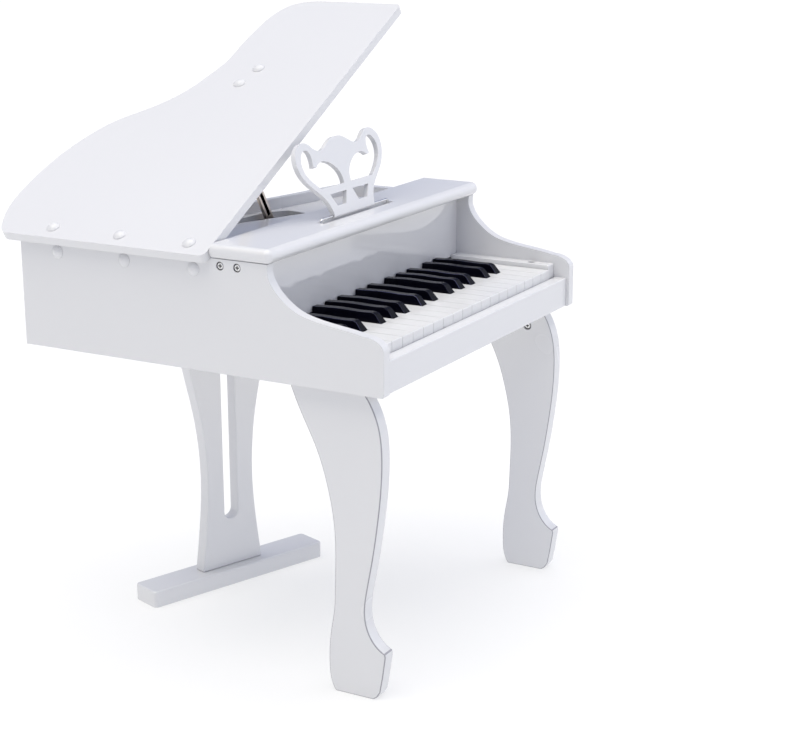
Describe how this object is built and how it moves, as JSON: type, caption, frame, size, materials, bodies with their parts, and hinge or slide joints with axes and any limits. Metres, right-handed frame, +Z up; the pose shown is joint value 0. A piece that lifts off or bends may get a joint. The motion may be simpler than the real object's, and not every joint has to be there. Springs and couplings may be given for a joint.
{
  "type": "miniature grand piano",
  "caption": "Child-size toy grand piano with a hinged lid, a lid stay, a folding music stand and sprung keys, on two front legs and a rear leg with a foot bar.",
  "frame": {"origin": "centre of the whole object's box, on the floor", "axes": "+X to the right of the player, +Y from the player to the back of the case, +Z up"},
  "size_m": [0.5196, 0.5385, 0.7505],
  "materials": {
    "white_lacquer": "gloss white lacquer on wood board",
    "key_white": "gloss white",
    "key_black": "gloss black",
    "chassis_plastic": "matte dark grey",
    "steel": "plated steel",
    "bright_steel": "bright plated",
    "cap_white": "gloss white",
    "board_green": "printed board",
    "speaker_black": "black paper cone and frame"
  },
  "bodies": {
    "case": {"left_side_panel": "white_lacquer", "right_side_panel": "white_lacquer", "back_panel": "white_lacquer", "bottom_panel": "white_lacquer", "front_rail": "white_lacquer", "top_board": "white_lacquer", "fallboard": "white_lacquer", "inner_deck": "white_lacquer", "left_key_block": "white_lacquer", "right_key_block": "white_lacquer", "left_front_leg": "white_lacquer", "right_front_leg": "white_lacquer", "rear_leg": "white_lacquer", "rear_foot_bar": "white_lacquer", "keyboard_chassis": "chassis_plastic", "key_rod": "steel", "contact_board": "board_green", "loudspeaker": "speaker_black", "case_screws": "bright_steel", "panel_caps": "cap_white", "case_hinge_leaves": "steel", "hinge_pins": "steel", "stay_catch": "steel", "stand_wire": "bright_steel"},
    "lid": {"lid": "white_lacquer", "lid_hinge_leaves": "steel", "lid_caps": "cap_white", "stay_bracket": "steel"},
    "stay": {"stay_bar": "steel"},
    "music_stand": {"music_stand": "white_lacquer"},
    "white_key_01": {"white_key_01": "key_white"},
    "white_key_02": {"white_key_02": "key_white"},
    "white_key_03": {"white_key_03": "key_white"},
    "white_key_04": {"white_key_04": "key_white"},
    "white_key_05": {"white_key_05": "key_white"},
    "white_key_06": {"white_key_06": "key_white"},
    "white_key_07": {"white_key_07": "key_white"},
    "white_key_08": {"white_key_08": "key_white"},
    "white_key_09": {"white_key_09": "key_white"},
    "white_key_10": {"white_key_10": "key_white"},
    "white_key_11": {"white_key_11": "key_white"},
    "white_key_12": {"white_key_12": "key_white"},
    "white_key_13": {"white_key_13": "key_white"},
    "white_key_14": {"white_key_14": "key_white"},
    "white_key_15": {"white_key_15": "key_white"},
    "white_key_16": {"white_key_16": "key_white"},
    "white_key_17": {"white_key_17": "key_white"},
    "white_key_18": {"white_key_18": "key_white"},
    "black_key_01": {"black_key_01": "key_black"},
    "black_key_02": {"black_key_02": "key_black"},
    "black_key_03": {"black_key_03": "key_black"},
    "black_key_04": {"black_key_04": "key_black"},
    "black_key_05": {"black_key_05": "key_black"},
    "black_key_06": {"black_key_06": "key_black"},
    "black_key_07": {"black_key_07": "key_black"},
    "black_key_08": {"black_key_08": "key_black"},
    "black_key_09": {"black_key_09": "key_black"},
    "black_key_10": {"black_key_10": "key_black"},
    "black_key_11": {"black_key_11": "key_black"},
    "black_key_12": {"black_key_12": "key_black"}
  },
  "joints": [
    {"name": "lid_hinge", "type": "hinge", "parent": "case", "child": "lid", "pos_m": [-0.24222, 0.07835, 0.502], "axis": [0, 1, 0], "range_deg": [0, 28.5]},
    {"name": "stay_pivot", "type": "hinge", "parent": "lid", "child": "stay", "pos_m": [-0.00817, 0.08675, 0.6177], "axis": [0, 1, 0], "range_deg": [0, 64]},
    {"name": "music_stand_hinge", "type": "hinge", "parent": "case", "child": "music_stand", "pos_m": [-0.01022, -0.09315, 0.5203], "axis": [1, 0, 0], "range_deg": [0, 106]},
    {"name": "white_key_01_pivot", "type": "hinge", "parent": "case", "child": "white_key_01", "pos_m": [0.00478, -0.07715, 0.408], "axis": [1, 0, 0], "range_deg": [0, 2.2], "stiffness_Nm_per_rad": 4, "springref_deg": -2.86},
    {"name": "white_key_02_pivot", "type": "hinge", "parent": "case", "child": "white_key_02", "pos_m": [0.00478, -0.07715, 0.408], "axis": [1, 0, 0], "range_deg": [0, 2.2], "stiffness_Nm_per_rad": 4, "springref_deg": -2.86},
    {"name": "white_key_03_pivot", "type": "hinge", "parent": "case", "child": "white_key_03", "pos_m": [0.00478, -0.07715, 0.408], "axis": [1, 0, 0], "range_deg": [0, 2.2], "stiffness_Nm_per_rad": 4, "springref_deg": -2.86},
    {"name": "white_key_04_pivot", "type": "hinge", "parent": "case", "child": "white_key_04", "pos_m": [0.00478, -0.07715, 0.408], "axis": [1, 0, 0], "range_deg": [0, 2.2], "stiffness_Nm_per_rad": 4, "springref_deg": -2.86},
    {"name": "white_key_05_pivot", "type": "hinge", "parent": "case", "child": "white_key_05", "pos_m": [0.00478, -0.07715, 0.408], "axis": [1, 0, 0], "range_deg": [0, 2.2], "stiffness_Nm_per_rad": 4, "springref_deg": -2.86},
    {"name": "white_key_06_pivot", "type": "hinge", "parent": "case", "child": "white_key_06", "pos_m": [0.00478, -0.07715, 0.408], "axis": [1, 0, 0], "range_deg": [0, 2.2], "stiffness_Nm_per_rad": 4, "springref_deg": -2.86},
    {"name": "white_key_07_pivot", "type": "hinge", "parent": "case", "child": "white_key_07", "pos_m": [0.00478, -0.07715, 0.408], "axis": [1, 0, 0], "range_deg": [0, 2.2], "stiffness_Nm_per_rad": 4, "springref_deg": -2.86},
    {"name": "white_key_08_pivot", "type": "hinge", "parent": "case", "child": "white_key_08", "pos_m": [0.00478, -0.07715, 0.408], "axis": [1, 0, 0], "range_deg": [0, 2.2], "stiffness_Nm_per_rad": 4, "springref_deg": -2.86},
    {"name": "white_key_09_pivot", "type": "hinge", "parent": "case", "child": "white_key_09", "pos_m": [0.00478, -0.07715, 0.408], "axis": [1, 0, 0], "range_deg": [0, 2.2], "stiffness_Nm_per_rad": 4, "springref_deg": -2.86},
    {"name": "white_key_10_pivot", "type": "hinge", "parent": "case", "child": "white_key_10", "pos_m": [0.00478, -0.07715, 0.408], "axis": [1, 0, 0], "range_deg": [0, 2.2], "stiffness_Nm_per_rad": 4, "springref_deg": -2.86},
    {"name": "white_key_11_pivot", "type": "hinge", "parent": "case", "child": "white_key_11", "pos_m": [0.00478, -0.07715, 0.408], "axis": [1, 0, 0], "range_deg": [0, 2.2], "stiffness_Nm_per_rad": 4, "springref_deg": -2.86},
    {"name": "white_key_12_pivot", "type": "hinge", "parent": "case", "child": "white_key_12", "pos_m": [0.00478, -0.07715, 0.408], "axis": [1, 0, 0], "range_deg": [0, 2.2], "stiffness_Nm_per_rad": 4, "springref_deg": -2.86},
    {"name": "white_key_13_pivot", "type": "hinge", "parent": "case", "child": "white_key_13", "pos_m": [0.00478, -0.07715, 0.408], "axis": [1, 0, 0], "range_deg": [0, 2.2], "stiffness_Nm_per_rad": 4, "springref_deg": -2.86},
    {"name": "white_key_14_pivot", "type": "hinge", "parent": "case", "child": "white_key_14", "pos_m": [0.00478, -0.07715, 0.408], "axis": [1, 0, 0], "range_deg": [0, 2.2], "stiffness_Nm_per_rad": 4, "springref_deg": -2.86},
    {"name": "white_key_15_pivot", "type": "hinge", "parent": "case", "child": "white_key_15", "pos_m": [0.00478, -0.07715, 0.408], "axis": [1, 0, 0], "range_deg": [0, 2.2], "stiffness_Nm_per_rad": 4, "springref_deg": -2.86},
    {"name": "white_key_16_pivot", "type": "hinge", "parent": "case", "child": "white_key_16", "pos_m": [0.00478, -0.07715, 0.408], "axis": [1, 0, 0], "range_deg": [0, 2.2], "stiffness_Nm_per_rad": 4, "springref_deg": -2.86},
    {"name": "white_key_17_pivot", "type": "hinge", "parent": "case", "child": "white_key_17", "pos_m": [0.00478, -0.07715, 0.408], "axis": [1, 0, 0], "range_deg": [0, 2.2], "stiffness_Nm_per_rad": 4, "springref_deg": -2.86},
    {"name": "white_key_18_pivot", "type": "hinge", "parent": "case", "child": "white_key_18", "pos_m": [0.00478, -0.07715, 0.408], "axis": [1, 0, 0], "range_deg": [0, 2.2], "stiffness_Nm_per_rad": 4, "springref_deg": -2.86},
    {"name": "black_key_01_pivot", "type": "hinge", "parent": "case", "child": "black_key_01", "pos_m": [0.00478, -0.07715, 0.408], "axis": [1, 0, 0], "range_deg": [0, 2.2], "stiffness_Nm_per_rad": 4, "springref_deg": -2.86},
    {"name": "black_key_02_pivot", "type": "hinge", "parent": "case", "child": "black_key_02", "pos_m": [0.00478, -0.07715, 0.408], "axis": [1, 0, 0], "range_deg": [0, 2.2], "stiffness_Nm_per_rad": 4, "springref_deg": -2.86},
    {"name": "black_key_03_pivot", "type": "hinge", "parent": "case", "child": "black_key_03", "pos_m": [0.00478, -0.07715, 0.408], "axis": [1, 0, 0], "range_deg": [0, 2.2], "stiffness_Nm_per_rad": 4, "springref_deg": -2.86},
    {"name": "black_key_04_pivot", "type": "hinge", "parent": "case", "child": "black_key_04", "pos_m": [0.00478, -0.07715, 0.408], "axis": [1, 0, 0], "range_deg": [0, 2.2], "stiffness_Nm_per_rad": 4, "springref_deg": -2.86},
    {"name": "black_key_05_pivot", "type": "hinge", "parent": "case", "child": "black_key_05", "pos_m": [0.00478, -0.07715, 0.408], "axis": [1, 0, 0], "range_deg": [0, 2.2], "stiffness_Nm_per_rad": 4, "springref_deg": -2.86},
    {"name": "black_key_06_pivot", "type": "hinge", "parent": "case", "child": "black_key_06", "pos_m": [0.00478, -0.07715, 0.408], "axis": [1, 0, 0], "range_deg": [0, 2.2], "stiffness_Nm_per_rad": 4, "springref_deg": -2.86},
    {"name": "black_key_07_pivot", "type": "hinge", "parent": "case", "child": "black_key_07", "pos_m": [0.00478, -0.07715, 0.408], "axis": [1, 0, 0], "range_deg": [0, 2.2], "stiffness_Nm_per_rad": 4, "springref_deg": -2.86},
    {"name": "black_key_08_pivot", "type": "hinge", "parent": "case", "child": "black_key_08", "pos_m": [0.00478, -0.07715, 0.408], "axis": [1, 0, 0], "range_deg": [0, 2.2], "stiffness_Nm_per_rad": 4, "springref_deg": -2.86},
    {"name": "black_key_09_pivot", "type": "hinge", "parent": "case", "child": "black_key_09", "pos_m": [0.00478, -0.07715, 0.408], "axis": [1, 0, 0], "range_deg": [0, 2.2], "stiffness_Nm_per_rad": 4, "springref_deg": -2.86},
    {"name": "black_key_10_pivot", "type": "hinge", "parent": "case", "child": "black_key_10", "pos_m": [0.00478, -0.07715, 0.408], "axis": [1, 0, 0], "range_deg": [0, 2.2], "stiffness_Nm_per_rad": 4, "springref_deg": -2.86},
    {"name": "black_key_11_pivot", "type": "hinge", "parent": "case", "child": "black_key_11", "pos_m": [0.00478, -0.07715, 0.408], "axis": [1, 0, 0], "range_deg": [0, 2.2], "stiffness_Nm_per_rad": 4, "springref_deg": -2.86},
    {"name": "black_key_12_pivot", "type": "hinge", "parent": "case", "child": "black_key_12", "pos_m": [0.00478, -0.07715, 0.408], "axis": [1, 0, 0], "range_deg": [0, 2.2], "stiffness_Nm_per_rad": 4, "springref_deg": -2.86}
  ],
  "couplings": [
    {"joint": "stay_pivot", "follows": "lid_hinge", "ratio": 2.22}
  ]
}
